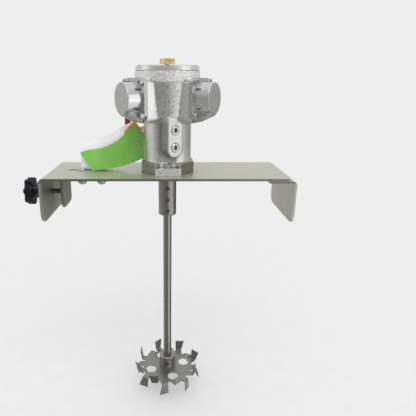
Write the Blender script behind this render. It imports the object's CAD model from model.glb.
import math
import bmesh
import bpy
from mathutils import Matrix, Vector


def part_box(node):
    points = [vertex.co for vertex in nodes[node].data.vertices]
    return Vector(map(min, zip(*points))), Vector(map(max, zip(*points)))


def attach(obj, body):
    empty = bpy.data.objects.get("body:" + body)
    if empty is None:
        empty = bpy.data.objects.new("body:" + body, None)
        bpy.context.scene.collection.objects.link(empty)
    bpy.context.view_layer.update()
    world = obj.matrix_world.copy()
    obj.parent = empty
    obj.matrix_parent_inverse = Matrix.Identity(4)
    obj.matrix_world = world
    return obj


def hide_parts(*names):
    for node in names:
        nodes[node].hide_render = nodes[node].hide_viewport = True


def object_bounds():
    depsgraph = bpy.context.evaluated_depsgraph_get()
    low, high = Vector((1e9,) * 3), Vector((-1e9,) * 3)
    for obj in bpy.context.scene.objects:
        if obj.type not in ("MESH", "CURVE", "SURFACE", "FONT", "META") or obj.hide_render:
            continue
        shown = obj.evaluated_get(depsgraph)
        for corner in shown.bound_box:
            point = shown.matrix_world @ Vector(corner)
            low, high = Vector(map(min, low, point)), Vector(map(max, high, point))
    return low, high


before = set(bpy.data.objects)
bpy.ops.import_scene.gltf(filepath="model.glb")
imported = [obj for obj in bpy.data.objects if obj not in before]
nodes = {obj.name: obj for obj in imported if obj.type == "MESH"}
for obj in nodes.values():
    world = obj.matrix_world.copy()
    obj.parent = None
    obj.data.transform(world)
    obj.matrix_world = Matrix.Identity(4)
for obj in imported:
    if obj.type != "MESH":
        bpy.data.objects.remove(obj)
cad_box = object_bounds()

MM = 0.001


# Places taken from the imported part
def corners(node):
    low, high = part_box(node)
    return Vector(low), Vector(high)


def middle(node):
    low, high = corners(node)
    return (low + high) / 2


plate_high = corners("bridge_plate")[1]
jaw_low, jaw_high = corners("clamp_jaw")
screw_low, screw_high = corners("clamp_screw")
PLATE_TOP = plate_high.z
DISC_Z = middle("impeller_disc").z
SCREW_AXIS = middle("clamp_screw")
LEVER_STEM_Z = middle("lever_nut").z
HEAD_HALF = 25.0
CRANK_Z = corners("cylinder_head_rear")[1].z - HEAD_HALF * MM

# Cut edges of the sheet metal
CUT_EDGE, PLATE_EDGE_Z = 0.12 * MM, PLATE_TOP - 6 * MM

# Motor casting: turns in degrees about Z, heights above the plate and other sizes in millimetres
MOTOR_TURN, HALF_SPACING, BOSS_HALF_TURN = 1.5, 60.0, 36.5
CYLINDER_TURNS = {"left": 210 + MOTOR_TURN, "right": 330 + MOTOR_TURN, "rear": 90 + MOTOR_TURN}
FOOT_TOP, BARREL_LOW, BARREL_TOP, BAND_LOW = 17.0, 71.5, 116.5, 116.0
LUG_X, LUG_HALF, LUG_Y, LUG_TOP = 1.0, 17.0, -37.0, 9.8
PORT_OUT, PORT_ACROSS = -55.0, 35.0
PORT_HALF, PORT_ROUND, PORT_FACE, PORT_TOP = 11.5, 34.5, 33.45, 70.5
CORNER_W, CORNER_OUT, CORNER_TOP = 7.0, 11.0, 68.5

# Cylinder cups, in millimetres from the crankshaft's axis and from their own
CUP_FLANGE, CUP_END, CUP_R = 48.4, 66.65, 20.3

# Red sleeve of the lever, in millimetres above the middle of its nut
SLEEVE_START = 9.8

# Clamp screw
SCREW_R, SCREW_PITCH, THREAD_DEPTH = 4.0 * MM, 1.25 * MM, 0.65 * MM
COLLAR_L, COLLAR_BEVEL = 1.9 * MM, 0.4 * MM
SCREW_SIDES, PITCH_STEPS = 32, 8

# Impeller, in millimetres and degrees; blade sizes start at the disc's rim
RIM_R, DISC_T = 41.0, 1.5
GULLET_DEPTH, GULLET_HALF_TURN = 3.2, 4.2
BORE_R, HOLE_R, HOLE_AT, HOLE_TURN = 6.05, 8.25, 27.3, 19.0
RIM_POINTS, HOLE_POINTS = 720, 72
BLADE_ROOT, BLADE_SKEW, BLADE_LEAN = -6.0, 27.0, 10.0
BEND_X, BEND_R, BEND_STEPS, BLADE_STEPS = 2.8, 1.8, 8, 6
BLADE_LEADING, BLADE_TRAILING, BLADE_FLARE = 5.0, -4.6, 4.6
UP_H, DOWN_H = 15.4, 13.7
UP_TEETH = [17.5 + 45 * i for i in range(8)]
DOWN_TEETH = [38.0 + 45 * i for i in range(8)]

# Strap and card, which reach out to the neck
STRAP_CENTRE = Vector((-44.5 * MM, 0, PLATE_TOP + 48 * MM))
STRAP_RISE_Z, STRAP_RISE, STRAP_PUSH = PLATE_TOP + 46 * MM, 10 * MM, 2.4 * MM
NECK_SIDE = -31.8 * MM
CARD_END, CARD_REACH = corners("green_tag")[1].x, 8 * MM

# Room: the level that the camera sees, and the levels and turns in degrees of what metal mirrors
PALE = 0.855
WINDOW_AT, WINDOW_HALF, WINDOW_SOFT = 50, 36, 8
WINDOW_LEVEL, WALL_LEVEL, DARK_LEVEL = 0.86, 0.52, 0.17
WALL_FULL_AT = -110
UPPER_TOWARD, UPPER_REACH, UPPER_LEVEL = (0.06, 0.74, 0.67), 0.75, 0.74
HORIZON = (-0.12, 0.04)
ROOM_LIGHT, LAMP_AIM = 1.2, Vector((0, 0, 0.05))

# Floor, in metres
FLOOR_Z = cad_box[0][2] - 18 * MM
FLOOR_R, FLOOR_SIDES, FLOOR_GLOW = 1.25, 96, 0.33
FLOOR_FADE, MIRROR_FADE = (0.45, 1.05), (0.10, 0.30)


class Nodes:
    """Shorthand for building one node tree."""

    def __init__(self, tree):
        self.tree = tree
        self.tree.nodes.clear()

    def link(self, source, target):
        self.tree.links.new(source, target)

    def feed(self, socket, value):
        """Set a socket to a number or a colour, or link it."""
        if isinstance(value, (int, float)):
            socket.default_value = value
        elif isinstance(value, tuple):
            socket.default_value = (*value, 1)
        else:
            self.link(value, socket)

    def node(self, kind, **settings):
        made = self.tree.nodes.new(kind)
        for key, value in settings.items():
            setattr(made, key, value)
        return made

    def place(self):
        return self.node("ShaderNodeTexCoord").outputs["Object"]

    def mapped(self, vector=None, location=(0, 0, 0), turn=(0, 0, 0), scale=(1, 1, 1)):
        made = self.node("ShaderNodeMapping")
        made.inputs["Location"].default_value = location
        made.inputs["Rotation"].default_value = [math.radians(a) for a in turn]
        made.inputs["Scale"].default_value = scale
        self.link(vector or self.place(), made.inputs["Vector"])
        return made.outputs["Vector"]

    def noise(self, vector, scale, detail, roughness):
        made = self.node("ShaderNodeTexNoise")
        made.inputs["Scale"].default_value = scale
        made.inputs["Detail"].default_value = detail
        made.inputs["Roughness"].default_value = roughness
        self.link(vector, made.inputs["Vector"])
        return made.outputs["Fac"]

    def cells(self, vector, scale):
        made = self.node("ShaderNodeTexVoronoi", feature="SMOOTH_F1")
        made.inputs["Scale"].default_value = scale
        self.link(vector, made.inputs["Vector"])
        return made.outputs["Distance"]

    def calc(self, operation, first, second=0.0):
        made = self.node("ShaderNodeMath", operation=operation)
        self.feed(made.inputs[0], first)
        self.feed(made.inputs[1], second)
        return made.outputs[0]

    def plus(self, first, *others):
        for other in others:
            first = self.calc("ADD", first, other)
        return first

    def times(self, first, *others):
        for other in others:
            first = self.calc("MULTIPLY", first, other)
        return first

    def most(self, first, *others):
        for other in others:
            first = self.calc("MAXIMUM", first, other)
        return first

    def inverse(self, mask):
        return self.calc("SUBTRACT", 1.0, mask)

    def weighted(self, *pairs):
        """Sum of values times their weights."""
        return self.plus(*[self.times(value, weight) for value, weight in pairs])

    def spread(self, value, low, high, out_low=0.0, out_high=1.0):
        """Stretch value between low and high to the out range, clamped."""
        made = self.node("ShaderNodeMapRange", clamp=True)
        self.link(value, made.inputs["Value"])
        limits = {"From Min": low, "From Max": high, "To Min": out_low, "To Max": out_high}
        for name, number in limits.items():
            made.inputs[name].default_value = number
        return made.outputs["Result"]

    def sway(self, pattern, low, high):
        """Stretch the usual range of a noise to low and high."""
        return self.spread(pattern, 0.3, 0.7, low, high)

    def over(self, value, level, soft):
        """0 below a level in millimetres and 1 above it, soft by some millimetres either way."""
        return self.spread(value, (level - soft) * MM, (level + soft) * MM)

    def under(self, value, level, soft):
        """1 below a level in millimetres and 0 above it, soft by some millimetres either way."""
        return self.spread(value, (level - soft) * MM, (level + soft) * MM, 1, 0)

    def ramp(self, value, *stops):
        made = self.node("ShaderNodeValToRGB")
        while len(made.color_ramp.elements) < len(stops):
            made.color_ramp.elements.new(0.5)
        for element, (position, colour) in zip(made.color_ramp.elements, stops):
            element.position = position
            element.color = (*colour, 1)
        self.link(value, made.inputs["Fac"])
        return made.outputs["Color"]

    def blend(self, fac, first, second):
        made = self.node("ShaderNodeMix", data_type="RGBA")
        self.link(fac, made.inputs["Factor"])
        self.feed(made.inputs[6], first)
        self.feed(made.inputs[7], second)
        return made.outputs[2]

    def parts(self, vector):
        made = self.node("ShaderNodeSeparateXYZ")
        self.link(vector, made.inputs[0])
        return made.outputs

    def radial(self, vector):
        """Axial distance and radius of a place about the X axis, as one flat vector."""
        x, y, z = self.parts(vector)
        made = self.node("ShaderNodeCombineXYZ")
        self.link(x, made.inputs[0])
        self.link(self.distance(y, z), made.inputs[1])
        return made.outputs[0]

    def distance(self, first, second):
        squares = self.plus(self.times(first, first), self.times(second, second))
        return self.calc("SQRT", squares)

    def toward(self, x, y, turn):
        """How far a place lies along a direction about the Z axis, in degrees."""
        turn = math.radians(turn)
        return self.weighted((x, math.cos(turn)), (y, math.sin(turn)))

    def emission(self, strength, kind="ShaderNodeEmission"):
        """White light of a plain or linked strength."""
        made = self.node(kind)
        made.inputs["Color"].default_value = (1, 1, 1, 1)
        self.feed(made.inputs["Strength"], strength)
        return made.outputs[0]

    def either(self, fac, first, second):
        """Shader first where fac is 0 and second where it is 1."""
        made = self.node("ShaderNodeMixShader")
        for socket, value in zip(made.inputs, (fac, first, second)):
            self.link(value, socket)
        return made.outputs[0]

    def rays(self, *kinds):
        """1 for the kinds of ray that are named."""
        path = self.node("ShaderNodeLightPath")
        return self.most(*[path.outputs[kind] for kind in kinds])

    def window_level(self, vector):
        """Level of the lower room about the Z axis: a window on the right, and a pale left wall."""
        x, y, _ = self.parts(vector)
        azimuth = self.calc("ARCTAN2", x, self.times(y, -1.0))
        off_window = self.calc("SUBTRACT", azimuth, math.radians(WINDOW_AT))
        window = self.spread(self.calc("ABSOLUTE", off_window),
                             math.radians(WINDOW_HALF - WINDOW_SOFT),
                             math.radians(WINDOW_HALF + WINDOW_SOFT), 1, 0)
        wall = self.spread(azimuth, 0, math.radians(WALL_FULL_AT))
        rises = self.weighted((window, WINDOW_LEVEL - DARK_LEVEL), (wall, WALL_LEVEL - DARK_LEVEL))
        return self.plus(rises, DARK_LEVEL)


class Shader(Nodes):
    """A node material around one Principled shader, with inputs set by name."""

    def __init__(self, name, **sockets):
        self.material = bpy.data.materials.new(name)
        self.material.use_nodes = True
        super().__init__(self.material.node_tree)
        self.output = self.node("ShaderNodeOutputMaterial")
        self.bsdf = self.node("ShaderNodeBsdfPrincipled")
        self.link(self.bsdf.outputs["BSDF"], self.output.inputs["Surface"])
        for key, value in sockets.items():
            self.bsdf.inputs[key.replace("_", " ")].default_value = value

    def put(self, source, name):
        self.link(source, self.bsdf.inputs[name])

    def relief(self, *layers, edge=0.0):
        """Bump layers of (pattern, depth in millimetres, strength), with edges softened by edge."""
        normal = None
        if edge:
            soft = self.node("ShaderNodeBevel", samples=4)
            soft.inputs["Radius"].default_value = edge * MM
            normal = soft.outputs["Normal"]
        for pattern, depth, strength in layers:
            made = self.node("ShaderNodeBump")
            made.inputs["Distance"].default_value = depth * MM
            made.inputs["Strength"].default_value = strength
            self.link(pattern, made.inputs["Height"])
            if normal:
                self.link(normal, made.inputs["Normal"])
            normal = made.outputs["Normal"]
        self.put(normal, "Normal")
        return self.material


def shade(tone, factor, lift=0.0):
    """A colour made darker or lighter."""
    return tuple(min(1.0, c * factor + lift) for c in tone)


# Metals
def sheet_steel(name, tone, along=(1, 0, 1), rough=(0.34, 0.46), cut=None):
    """Brushed sheet, streaked along the grain, with dark edges at cut = (half width, lowest Z)."""
    s = Shader(name, Metallic=1.0)
    place = s.place()
    streaks = s.noise(s.mapped(scale=[0.02 if a else 1.0 for a in along]), 2600, 3, 0.6)
    bands = s.noise(s.mapped(scale=[0.06 if a else 3.0 for a in along]), 420, 2, 0.5)
    wide = s.noise(s.mapped(scale=[0.12 if a else 1.0 for a in along]), 130, 3, 0.6)
    clouds = s.noise(place, 28, 3, 0.55)
    mixed = s.weighted((streaks, 0.45), (bands, 0.35), (wide, 0.20))
    colour = s.ramp(mixed, (0.36, shade(tone, 0.82)), (0.64, shade(tone, 1.13)))
    if cut:
        _, y, z = s.parts(place)
        at_side = s.calc("GREATER_THAN", s.calc("ABSOLUTE", y), cut[0] - CUT_EDGE)
        edge = s.times(at_side, s.calc("GREATER_THAN", z, cut[1]))
        colour = s.blend(edge, colour, shade(tone, 0.50))
    s.put(colour, "Base Color")
    s.put(s.plus(s.sway(clouds, *rough), s.times(streaks, 0.10)), "Roughness")
    return s.relief((streaks, 0.02, 0.5), (clouds, 0.4, 0.05), edge=0.4)


def panel_mask(s, x, y, height):
    """The barrel's panels between the cylinder bosses."""
    turn = s.plus(s.calc("ARCTAN2", y, x), math.radians(270 - MOTOR_TURN))
    from_boss = s.calc("PINGPONG", turn, math.radians(HALF_SPACING))
    across = s.spread(from_boss, math.radians(BOSS_HALF_TURN - 1.5),
                      math.radians(BOSS_HALF_TURN + 1.5))
    return s.times(across, s.over(height, BARREL_LOW, 1.5), s.under(height, BARREL_TOP, 1.5))


def port_masks(s, x, y, height):
    """The corner round the port boss, and the face of the boss."""
    aside = s.plus(s.toward(x, y, PORT_ACROSS), PORT_HALF * MM)
    outward = s.toward(x, y, PORT_OUT)
    below = s.calc("MINIMUM", s.plus(height, -PORT_ROUND * MM), 0.0)
    off = s.plus(s.distance(aside, below), -PORT_HALF * MM)
    corner = s.times(s.over(off, -0.25, 0.25), s.spread(off, 0.5 * MM, CORNER_W * MM, 1, 0),
                     s.over(outward, CORNER_OUT, 3), s.under(height, CORNER_TOP, 2.5))
    face = s.times(s.under(off, -0.75, 0.15), s.over(outward, PORT_FACE, 0.25),
                   s.under(height, PORT_TOP, 0.5))
    return corner, face


def cast_aluminium(name):
    """Blasted sand casting, with coarser panels and top band, a stained foot and a white lug."""
    s = Shader(name)
    place = s.place()
    x, y, z = s.parts(place)
    height = s.plus(z, -PLATE_TOP)
    hammered = s.noise(place, 470, 2, 0.55)
    ripples = s.noise(s.mapped(scale=(0.7, 0.7, 1.1)), 430, 2, 0.5)
    pebbles = s.cells(place, 640)
    grit = s.noise(place, 1500, 3, 0.65)
    clouds = s.noise(place, 60, 3, 0.6)

    mixed = s.weighted((hammered, 0.55), (grit, 0.45))
    bright = s.ramp(mixed, (0.34, (0.66, 0.655, 0.64)), (0.50, (0.79, 0.785, 0.775)),
                    (0.66, (0.88, 0.88, 0.87)))
    coarse_skin = s.ramp(ripples, (0.38, (0.30, 0.295, 0.28)), (0.50, (0.70, 0.695, 0.67)),
                         (0.62, (0.92, 0.915, 0.89)))
    brown = s.ramp(mixed, (0.34, (0.10, 0.095, 0.08)), (0.50, (0.24, 0.23, 0.20)),
                   (0.66, (0.40, 0.39, 0.34)))
    white = s.ramp(mixed, (0.36, (0.56, 0.56, 0.55)), (0.47, (0.84, 0.84, 0.83)),
                   (0.62, (0.96, 0.96, 0.95)))
    dull = s.ramp(mixed, (0.36, (0.46, 0.46, 0.45)), (0.50, (0.62, 0.62, 0.61)),
                  (0.64, (0.70, 0.70, 0.69)))

    panels = panel_mask(s, x, y, height)
    corner, face = port_masks(s, x, y, height)
    band = s.over(height, BAND_LOW, 1)
    low = s.under(s.plus(height, s.times(clouds, 3 * MM)), FOOT_TOP, 1)
    beside = s.over(s.calc("ABSOLUTE", s.plus(x, -LUG_X * MM)), LUG_HALF, 0.4)
    top = s.over(height, LUG_TOP, 0.2)
    lug = s.times(low, s.inverse(beside), s.under(y, LUG_Y, 1), s.inverse(top))

    skin = s.blend(s.times(panels, 0.30), bright, coarse_skin)
    skin = s.blend(s.times(band, 0.8), skin, white)
    skin = s.blend(s.times(low, top, 0.75), skin, brown)
    skin = s.blend(s.times(corner, 0.70), skin, (0.15, 0.155, 0.145))
    skin = s.blend(face, skin, dull)
    skin = s.blend(s.times(low, beside), skin, brown)
    s.put(s.blend(lug, skin, white), "Base Color")
    s.put(s.spread(band, 0, 1, 0.95, 0.80), "Metallic")
    rough = s.plus(s.sway(clouds, 0.26, 0.33), s.times(grit, 0.10))
    s.put(s.plus(rough, s.times(s.most(lug, band), 0.14)), "Roughness")

    uneven = s.most(s.times(panels, 0.45), band)
    coarse = s.most(s.spread(uneven, 0, 1, 0.20, 0.75), s.times(lug, 0.2))
    return s.relief((s.times(hammered, coarse), 1.2, 0.45), (s.times(ripples, uneven), 1.8, 0.65),
                    (s.times(pebbles, coarse), 0.6, 0.40), (grit, 0.16, 0.40))


def turned(name, tone, rough, pitch=2200, metallic=1.0):
    """Metal turned about the Z axis: fine tool rings, wide darker bands and stains."""
    s = Shader(name, Metallic=metallic)
    lathe = s.radial(s.mapped(turn=(0, 90, 0)))
    rings = s.noise(lathe, pitch, 2, 0.5)
    wide = s.noise(lathe, pitch / 9, 2, 0.5)
    stains = s.noise(s.place(), 130, 4, 0.6)
    dark = shade(tone, 0.84)
    banded = s.ramp(wide, (0.3, dark), (0.7, tone))
    s.put(s.blend(s.times(stains, 0.6), banded, dark), "Base Color")
    s.put(s.plus(s.sway(stains, *rough), s.times(rings, 0.06)), "Roughness")
    return s.relief((rings, 0.03, 0.35), (stains, 0.2, 0.04), edge=0.25)


def cylinder_cup(name, turn_deg):
    """Machined cylinder cup with a blasted end face, about its own cylinder's axis."""
    s = Shader(name, Metallic=1.0)
    local = s.mapped(s.mapped(location=(0, 0, -CRANK_Z)), turn=(0, 0, -turn_deg))
    lathe = s.radial(local)
    axial, radius = s.parts(lathe)[0], s.parts(lathe)[1]
    rings = s.noise(lathe, 1900, 2, 0.5)
    place = s.place()
    grit = s.noise(place, 1500, 3, 0.6)
    specks = s.noise(place, 560, 2, 0.6)
    clouds = s.noise(place, 60, 3, 0.6)
    blasted = s.most(s.over(axial, CUP_END, 0.35), s.under(axial, CUP_FLANGE, 0.6),
                     s.over(radius, CUP_R, 0.1))
    bright = s.ramp(rings, (0.3, (0.66, 0.66, 0.665)), (0.7, (0.88, 0.88, 0.885)))
    mixed = s.weighted((specks, 0.6), (grit, 0.4))
    dull = s.ramp(mixed, (0.37, (0.36, 0.36, 0.35)), (0.45, (0.57, 0.57, 0.555)),
                  (0.64, (0.70, 0.70, 0.685)))
    s.put(s.blend(blasted, bright, dull), "Base Color")
    s.put(s.plus(s.spread(blasted, 0, 1, 0.17, 0.40), s.times(clouds, 0.10)), "Roughness")
    return s.relief((rings, 0.03, 0.4), (s.times(specks, blasted), 0.6, 0.30), edge=0.5)


def plated_steel(name, tone, rough=(0.26, 0.40)):
    """Plated or blackened small steel part with a mottled skin."""
    s = Shader(name, Metallic=1.0)
    place = s.place()
    mottle = s.noise(place, 700, 3, 0.6)
    clouds = s.noise(place, 120, 3, 0.6)
    s.put(s.ramp(mottle, (0.3, shade(tone, 0.72)), (0.68, tone)), "Base Color")
    s.put(s.sway(clouds, *rough), "Roughness")
    return s.relief((mottle, 0.08, 0.25), edge=0.3)


def yellow_brass(name):
    """Machined brass with fine cuts along X and tarnish."""
    s = Shader(name, Metallic=0.78)
    cuts = s.noise(s.mapped(scale=(0.15, 1, 1)), 1500, 2, 0.5)
    stains = s.noise(s.place(), 160, 4, 0.6)
    s.put(s.ramp(stains, (0.30, (0.66, 0.46, 0.17)), (0.50, (0.90, 0.68, 0.31)),
                 (0.72, (0.98, 0.80, 0.44))), "Base Color")
    s.put(s.sway(stains, 0.50, 0.36), "Roughness")
    return s.relief((cuts, 0.03, 0.4), (stains, 0.2, 0.06), edge=0.35)


# Plastics, paper and rubber
def moulded(name, tone, rough, grain=900, shine=0.5):
    """Moulded plastic or rubber with a fine grain and a little dust."""
    s = Shader(name, Specular_IOR_Level=shine)
    place = s.place()
    leather = s.cells(place, grain)
    clouds = s.noise(place, 90, 3, 0.6)
    dust = s.noise(place, 1400, 4, 0.7)
    light = shade(tone, 1.4, 0.004)
    clean = s.ramp(clouds, (0.3, tone), (0.7, light))
    s.put(s.blend(s.spread(dust, 0.52, 0.75), clean, light), "Base Color")
    s.put(s.sway(clouds, *rough), "Roughness")
    return s.relief((leather, 0.1, 0.22), (clouds, 0.6, 0.06), edge=0.4)


def lever_sleeve(name):
    """Vinyl-dipped lever: bare plated strip near the stem, red sleeve above it."""
    s = Shader(name)
    place = s.place()
    clouds = s.noise(place, 200, 3, 0.6)
    pores = s.noise(place, 1500, 3, 0.6)
    height = s.plus(s.parts(place)[2], -LEVER_STEM_Z)
    dipped = s.over(s.plus(height, s.times(clouds, 0.6 * MM)), SLEEVE_START, 0.2)
    red = s.ramp(clouds, (0.3, (0.15, 0.006, 0.012)), (0.7, (0.24, 0.010, 0.018)))
    steel = s.ramp(pores, (0.3, (0.38, 0.38, 0.37)), (0.7, (0.62, 0.62, 0.60)))
    s.put(s.blend(dipped, steel, red), "Base Color")
    s.put(s.inverse(dipped), "Metallic")
    s.put(s.sway(clouds, 0.30, 0.42), "Roughness")
    return s.relief((dipped, 0.4, 0.5), (pores, 0.05, 0.3), edge=0.4)


def laminated_card(name, tone):
    """Card sealed in film: fibre mottle, slow waves and handling dents."""
    s = Shader(name, Coat_Weight=0.6, Coat_Roughness=0.12, Specular_IOR_Level=0.5)
    place = s.place()
    fibre = s.noise(s.mapped(scale=(0.4, 1, 1)), 2400, 4, 0.6)
    waves = s.noise(place, 55, 2, 0.5)
    dents = s.noise(place, 210, 2, 0.5)
    mixed = s.weighted((fibre, 0.5), (waves, 0.5))
    s.put(s.ramp(mixed, (0.35, shade(tone, 0.88)), (0.65, shade(tone, 1.10, 0.01))), "Base Color")
    s.put(s.sway(dents, 0.28, 0.42), "Roughness")
    return s.relief((waves, 2.0, 0.12), (dents, 0.6, 0.12), (fibre, 0.03, 0.3))


def woven_strap(name):
    """Flat polymer band with a fine diagonal emboss."""
    s = Shader(name, Subsurface_Weight=0.08, Coat_Weight=0.15, Coat_Roughness=0.3)
    place = s.place()
    emboss = s.node("ShaderNodeTexWave", wave_type="BANDS", bands_direction="DIAGONAL")
    emboss.inputs["Scale"].default_value = 330
    emboss.inputs["Distortion"].default_value = 0.4
    s.link(place, emboss.inputs["Vector"])
    clouds = s.noise(place, 150, 3, 0.6)
    s.put(s.ramp(clouds, (0.3, (0.62, 0.19, 0.035)), (0.7, (0.80, 0.30, 0.07))), "Base Color")
    s.put(s.sway(clouds, 0.38, 0.52), "Roughness")
    return s.relief((emboss.outputs["Fac"], 0.1, 0.4), (clouds, 0.4, 0.1), edge=0.2)


def oiled_paper(name):
    """Dark gasket paper with oily patches."""
    s = Shader(name)
    place = s.place()
    fibre = s.noise(place, 1500, 4, 0.7)
    oil = s.noise(place, 90, 3, 0.5)
    s.put(s.ramp(fibre, (0.3, (0.030, 0.029, 0.027)), (0.7, (0.075, 0.072, 0.066))), "Base Color")
    s.put(s.sway(oil, 0.45, 0.75), "Roughness")
    return s.relief((fibre, 0.1, 0.4))


# Meshes
def circle(count):
    """Cosine and sine of count even turns."""
    turns = [2 * math.pi * i / count for i in range(count)]
    return [(math.cos(turn), math.sin(turn)) for turn in turns]


def new_piece(name, mesh_data):
    piece = bpy.data.objects.new(name, mesh_data)
    bpy.context.scene.collection.objects.link(piece)
    return piece


def from_rings(name, rings):
    """Closed smooth skin through rings of points, each ring with the same count."""
    mesh = bpy.data.meshes.new(name)
    bm = bmesh.new()
    made = [[bm.verts.new(p) for p in ring] for ring in rings]
    for first, second in zip(made, made[1:]):
        for i in range(len(first)):
            j = (i + 1) % len(first)
            bm.faces.new((first[i], first[j], second[j], second[i]))
    bm.faces.new(reversed(made[0]))
    bm.faces.new(made[-1])
    bmesh.ops.recalc_face_normals(bm, faces=bm.faces)
    bm.to_mesh(mesh)
    bm.free()
    for polygon in mesh.polygons:
        polygon.use_smooth = True
    return new_piece(name, mesh)


def welded_skin(piece, voxel, rounds):
    """Fuse a piece's overlapping shells and soften its sharp edges, with the result applied."""
    remesh = piece.modifiers.new("skin", "REMESH")
    remesh.mode = "VOXEL"
    remesh.voxel_size = voxel
    remesh.use_smooth_shade = True
    smooth = piece.modifiers.new("melt", "SMOOTH")
    smooth.factor = 0.5
    smooth.iterations = rounds
    evaluated = piece.evaluated_get(bpy.context.evaluated_depsgraph_get())
    mesh = bpy.data.meshes.new_from_object(evaluated)
    piece.modifiers.clear()
    piece.data = mesh
    return piece


def soft_casting(source, voxel, rounds):
    """Copy of a CAD node with its sharp edges melted to small cast radii."""
    copy = new_piece(source.name + "_casting", source.data.copy())
    copy.data.materials.clear()
    return welded_skin(copy, voxel, rounds)


def thread_rings(x0, x1):
    """Rings of points of the clamp screw, whose helical thread runs out at both ends."""
    count = int((x1 - x0) / SCREW_PITCH * PITCH_STEPS)
    rings = []
    for k in range(count + 1):
        x = x0 + (x1 - x0) * k / count
        fade = min(1.0, k / PITCH_STEPS, (count - k) / PITCH_STEPS)
        ring = []
        for i, (cos, sin) in enumerate(circle(SCREW_SIDES)):
            phase = ((x - x0) / SCREW_PITCH - i / SCREW_SIDES) % 1.0
            tooth = 1.0 - abs(2.0 * phase - 1.0)
            crest = min(1.0, max(0.0, tooth * 1.5 - 0.2))
            r = SCREW_R - THREAD_DEPTH * fade * (1 - crest)
            ring.append((x, SCREW_AXIS.y + r * cos, SCREW_AXIS.z + r * sin))
        rings.append(ring)
    return rings


def collar_rings(x0, x1, radius):
    """Rings of points of the clamp screw's bevelled collar."""
    profile = ((x0, radius - COLLAR_BEVEL), (x0 + COLLAR_BEVEL, radius),
               (x1 - COLLAR_BEVEL, radius), (x1, radius - COLLAR_BEVEL))
    return [[(x, SCREW_AXIS.y + r * cos, SCREW_AXIS.z + r * sin)
             for cos, sin in circle(SCREW_SIDES)] for x, r in profile]


def blade_path(height):
    """Points (x, z, lean) along a tooth, which bends out of the disc and then runs straight."""
    bend = math.radians(90 - BLADE_LEAN)
    path = [(BLADE_ROOT, 0.0, 0.0), (BEND_X, 0.0, 0.0)]
    for k in range(1, BEND_STEPS + 1):
        lean = bend * k / BEND_STEPS
        path.append((BEND_X + BEND_R * math.sin(lean), BEND_R * (1 - math.cos(lean)), lean))
    x, z, _ = path[-1]
    length = (height - z) / math.sin(bend)
    for k in range(1, BLADE_STEPS + 1):
        step = length * k / BLADE_STEPS
        path.append((x + step * math.cos(bend), z + step * math.sin(bend), bend))
    return path


def blade_rings(direction, side, height):
    """Four-cornered rings along one rim tooth, which flares on its trailing edge."""
    skew, turn = math.radians(BLADE_SKEW), math.radians(direction)
    rings = []
    for x, z, lean in blade_path(height):
        trailing = BLADE_TRAILING - BLADE_FLARE * max(0.0, z) / height
        ring = []
        for y, half in ((BLADE_LEADING, 1), (trailing, 1), (trailing, -1), (BLADE_LEADING, -1)):
            px = x - half * DISC_T / 2 * math.sin(lean)
            pz = z + half * DISC_T / 2 * math.cos(lean)
            qx = RIM_R + px * math.cos(skew) - y * math.sin(skew)
            qy = px * math.sin(skew) + y * math.cos(skew)
            ring.append((MM * (qx * math.cos(turn) - qy * math.sin(turn)),
                         MM * (qx * math.sin(turn) + qy * math.cos(turn)), DISC_Z + MM * side * pz))
        rings.append(ring)
    return rings


def rim_outline():
    """Points of the disc's rim, with a gullet beside each tooth."""
    teeth = sorted(a % 360 for a in UP_TEETH + DOWN_TEETH)
    gullets = [(a + b) / 2 for a, b in zip(teeth, teeth[1:] + [teeth[0] + 360])]
    points = []
    for k in range(RIM_POINTS):
        angle = 360 * k / RIM_POINTS
        off = min(abs((angle - g + 180) % 360 - 180) for g in gullets)
        r = RIM_R - GULLET_DEPTH * max(0.0, 1 - (off / GULLET_HALF_TURN) ** 2) ** 0.5
        points.append((r * math.cos(math.radians(angle)), r * math.sin(math.radians(angle))))
    return points


def disc_mesh():
    """Flat disc with gullets, round flow holes and a bore."""
    curve = bpy.data.curves.new("impeller_outline", "CURVE")
    curve.dimensions = "2D"
    curve.fill_mode = "BOTH"
    curve.extrude = DISC_T / 2 * MM
    holes = [(0.0, 0.0, BORE_R)]
    for i in range(4):
        a = math.radians(HOLE_TURN + 90 * i)
        holes.append((HOLE_AT * math.cos(a), HOLE_AT * math.sin(a), HOLE_R))
    loops = [rim_outline()]
    loops += [[(x + r * cos, y + r * sin) for cos, sin in circle(HOLE_POINTS)]
              for x, y, r in holes]
    for points in loops:
        spline = curve.splines.new("POLY")
        spline.points.add(len(points) - 1)
        for point, (x, y) in zip(spline.points, points):
            point.co = (x * MM, y * MM, 0, 1)
        spline.use_cyclic_u = True
    shape = bpy.data.objects.new("impeller_outline", curve)
    mesh = bpy.data.meshes.new_from_object(shape)
    bpy.data.objects.remove(shape)
    return mesh


def impeller():
    """Saw-toothed dispersing disc, welded into one skin."""
    bm = bmesh.new()
    bm.from_mesh(disc_mesh())
    for vert in bm.verts:
        vert.co.z += DISC_Z
    bmesh.ops.remove_doubles(bm, verts=bm.verts, dist=1e-6)
    for teeth, side, height in ((UP_TEETH, 1, UP_H), (DOWN_TEETH, -1, DOWN_H)):
        for direction in teeth:
            rings = blade_rings(direction, side, height)
            made = [[bm.verts.new(p) for p in ring] for ring in rings]
            for first, second in zip(made, made[1:]):
                for k in range(4):
                    bm.faces.new((first[k], first[k - 1], second[k - 1], second[k]))
            bm.faces.new(made[0])
            bm.faces.new(made[-1])
    bmesh.ops.recalc_face_normals(bm, faces=bm.faces)
    mesh = bpy.data.meshes.new("impeller_teeth")
    bm.to_mesh(mesh)
    bm.free()
    return welded_skin(new_piece("impeller_teeth", mesh), voxel=0.35 * MM, rounds=2)


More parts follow.
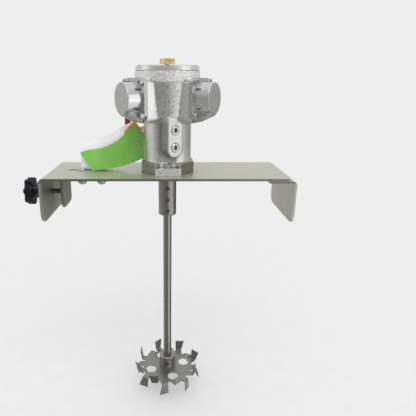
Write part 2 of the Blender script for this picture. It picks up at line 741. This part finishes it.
def strap_point(point):
    """Push the upper loop of the strap out past the edges of the cards."""
    share = min(1.0, max(0.0, (point.z - STRAP_RISE_Z) / STRAP_RISE))
    out = Vector((point.x, 0, point.z)) - STRAP_CENTRE
    moved = point + out.normalized() * STRAP_PUSH * share
    return Vector((min(moved.x, NECK_SIDE), moved.y, moved.z))


def card_point(point):
    """Draw the eyelet end of the card out to the neck."""
    share = min(1.0, max(0.0, (point.x - CARD_END) / CARD_REACH + 1.0))
    return Vector((point.x + (NECK_SIDE - CARD_END) * share, point.y, point.z))


# Materials of the CAD nodes
stainless = sheet_steel("brushed_stainless", (0.66, 0.66, 0.57), cut=(plate_high.y, PLATE_EDGE_Z))
jaw_steel = sheet_steel("brushed_stainless_jaw", (0.58, 0.58, 0.51), cut=(jaw_high.y, jaw_low.z))
impeller_steel = sheet_steel("impeller_steel", (0.33, 0.335, 0.315), along=(0, 1, 0),
                             rough=(0.26, 0.38))
casting = cast_aluminium("blasted_casting")
shaft_steel = turned("ground_shaft_steel", (0.42, 0.415, 0.38), rough=(0.10, 0.18))
dark_steel = turned("oiled_turned_steel", (0.41, 0.40, 0.365), rough=(0.24, 0.38), pitch=1500)
cover_metal = turned("turned_cover", (0.86, 0.855, 0.835), rough=(0.28, 0.38), pitch=1700,
                     metallic=0.84)
plated = plated_steel("zinc_plated_steel", (0.64, 0.64, 0.625))
inner_steel = plated_steel("hardened_steel", (0.36, 0.365, 0.37), rough=(0.18, 0.32))
black_screw = plated_steel("blackened_screw", (0.25, 0.26, 0.275), rough=(0.28, 0.42))
brass = yellow_brass("yellow_brass")
knob_plastic = moulded("black_moulded_knob", (0.003, 0.004, 0.008), rough=(0.10, 0.20), shine=0.32)
rubber = moulded("nitrile_rubber", (0.015, 0.015, 0.016), rough=(0.5, 0.7), grain=1500)
gasket = oiled_paper("gasket_paper")
green = laminated_card("green_card", (0.150, 0.42, 0.044))
white = laminated_card("white_card", (0.80, 0.812, 0.83))
strap = woven_strap("orange_band")
lever = lever_sleeve("dipped_lever")

surfaces = {
    stainless: ["bridge_plate", "hook_bracket"],
    jaw_steel: ["clamp_jaw"],
    impeller_steel: ["impeller_disc"],
    shaft_steel: ["mixing_shaft", "valve_ball"],
    dark_steel: ["coupling", "impeller_hub", "swivel_cup"],
    cover_metal: ["top_cover", "piston_left", "piston_right", "piston_rear"],
    plated: ["jaw_bolts", "jaw_washers", "jaw_dome_nuts", "clamp_nut", "port_plugs", "head_bolts",
             "cover_screws", "motor_bolts", "lever_nut", "tag_wire"],
    inner_steel: ["cylinder_liners", "piston_rings", "crankshaft", "slipper_ring", "upper_bearing",
                  "lower_bearing", "valve_sleeve", "coupling_set_screws"],
    black_screw: ["clamp_screw", "hub_set_screw"],
    brass: ["cap_plug", "inlet_nipple", "ball_valve_body", "valve_stem", "tag_eyelet",
            "rotary_valve", "crank_bearing"],
    knob_plastic: ["star_knob"],
    rubber: ["oil_seal"],
    gasket: ["cover_gasket", "head_gaskets"],
    green: ["green_tag"],
    white: ["white_tag"],
    strap: ["tag_strap"],
    lever: ["valve_lever"],
    casting: ["motor_housing"],
}
for side, turn_deg in CYLINDER_TURNS.items():
    surfaces[cylinder_cup(f"machined_cup_{side}", turn_deg)] = [f"cylinder_head_{side}"]

for material, names in surfaces.items():
    for name in names:
        mesh = nodes[name].data
        mesh.materials.clear()
        mesh.materials.append(material)

# Housing with melted edges
housing = soft_casting(nodes["motor_housing"], voxel=0.55 * MM, rounds=4)
housing.data.materials.append(casting)
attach(housing, "frame")
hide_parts("motor_housing")

# Clamp screw with its thread and collar
collar_x = screw_high.x - COLLAR_L
collar_r = (screw_high.z - screw_low.z) / 2
rod = from_rings("clamp_screw_thread", thread_rings(screw_low.x, collar_x)
                 + collar_rings(collar_x, screw_high.x, collar_r))
rod.data.materials.append(black_screw)
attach(rod, "clamp_screw")
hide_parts("clamp_screw")

# Impeller with skewed, flared blades
blades = impeller()
blades.data.materials.clear()
blades.data.materials.append(impeller_steel)
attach(blades, "drive")
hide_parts("impeller_disc")

# Strap and card stretched a little towards the neck
for name, node, slot_name, moved in (
        ("tag_strap_band", "tag_strap", "orange_strap", strap_point),
        ("green_card_sheet", "green_tag", "green_card", card_point)):
    piece = new_piece(name, nodes[node].data.copy())
    for vert in piece.data.vertices:
        vert.co = moved(vert.co)
    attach(piece, "frame")
    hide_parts(node)


# Floor and room
def stage_floor():
    """Pale floor that keeps the shadow and fades into the plain background away from the object."""
    mesh = bpy.data.meshes.new("floor")
    rim = [(FLOOR_R * cos, FLOOR_R * sin, FLOOR_Z) for cos, sin in circle(FLOOR_SIDES)]
    mesh.from_pydata(rim, [], [tuple(range(FLOOR_SIDES))])
    floor = new_piece("floor", mesh)
    s = Shader("pale_floor", Roughness=0.9, Specular_IOR_Level=0.1)
    place = s.place()
    grain = s.noise(place, 40.0, 3, 0.5)
    s.put(s.ramp(grain, (0.3, (0.37, 0.37, 0.37)), (0.7, (0.39, 0.39, 0.39))), "Base Color")
    surface = s.bsdf.outputs["BSDF"]
    lit = s.node("ShaderNodeAddShader")
    s.link(surface, lit.inputs[0])
    s.link(s.emission(FLOOR_GLOW), lit.inputs[1])
    length = s.node("ShaderNodeVectorMath", operation="LENGTH")
    s.link(place, length.inputs[0])
    away = length.outputs["Value"]
    seen = s.either(s.spread(away, *FLOOR_FADE), lit.outputs[0], s.emission(PALE))
    near = s.spread(away, *MIRROR_FADE, 1, 0)
    mirrored = s.either(near, s.emission(s.window_level(place)), surface)
    shown = s.either(s.rays("Is Glossy Ray"), surface, mirrored)
    shown = s.either(s.rays("Is Camera Ray", "Is Transmission Ray"), shown, seen)
    s.link(shown, s.output.inputs["Surface"])
    mesh.materials.append(s.material)


def room():
    """Pale background, soft light, and for reflections a room with a window and a pale back."""
    world = bpy.data.worlds.new("room")
    bpy.context.scene.world = world
    world.use_nodes = True
    n = Nodes(world.node_tree)
    out = n.node("ShaderNodeOutputWorld")
    direction = n.node("ShaderNodeTexCoord").outputs["Generated"]
    toward = n.node("ShaderNodeVectorMath", operation="DOT_PRODUCT")
    toward.inputs[1].default_value = UPPER_TOWARD
    n.link(direction, toward.inputs[0])
    upper = n.spread(toward.outputs["Value"], -UPPER_REACH, UPPER_REACH, DARK_LEVEL, UPPER_LEVEL)
    above = n.spread(n.parts(direction)[2], *HORIZON)
    lower = n.times(n.window_level(direction), n.inverse(above))
    mirrored = n.plus(n.times(upper, above), lower)
    kind = "ShaderNodeBackground"
    light = n.emission(ROOM_LIGHT, kind)
    soft = n.either(n.rays("Is Glossy Ray"), light, n.emission(mirrored, kind))
    behind = n.rays("Is Camera Ray", "Is Transmission Ray")
    n.link(n.either(behind, soft, n.emission(PALE, kind)), out.inputs["Surface"])


def lamp(name, place, size, radiance):
    """Soft box aimed at the motor, whose own face has the given radiance."""
    data = bpy.data.lights.new(name, "AREA")
    data.shape = "RECTANGLE"
    data.size, data.size_y = size
    data.energy = radiance * size[0] * size[1] * math.pi
    light = bpy.data.objects.new(name, data)
    bpy.context.scene.collection.objects.link(light)
    light.location = place
    light.rotation_euler = (LAMP_AIM - Vector(place)).to_track_quat("-Z", "Y").to_euler()


stage_floor()
room()
lamp("right_window", (1.35, -0.62, 0.25), (0.9, 1.2), 0.75)
lamp("left_window", (-1.5, -0.15, 0.45), (0.7, 1.0), 0.85)
lamp("ceiling", (0.15, -0.75, 1.35), (1.3, 0.8), 1.9)

# Camera at the photograph's place, fitted from the bridge, the shaft and the impeller
CAMERA_Y, CAMERA_RISE, CAMERA_DOWN = -0.5561, 0.1173, 17.26
CAMERA_LENS, CAMERA_SHIFT = 35.31, 0.0976
camera_data = bpy.data.cameras.new("photo_camera")
camera_data.sensor_width = 36.0
camera_data.lens = CAMERA_LENS
camera_data.shift_x = CAMERA_SHIFT
camera_data.clip_start = 0.01
camera = bpy.data.objects.new("photo_camera", camera_data)
camera.location = (0.0, CAMERA_Y, PLATE_TOP + CAMERA_RISE)
camera.rotation_euler = (math.radians(90 - CAMERA_DOWN), 0, 0)
bpy.context.scene.collection.objects.link(camera)
bpy.context.scene.camera = camera
bpy.context.scene.view_settings.view_transform = "Standard"
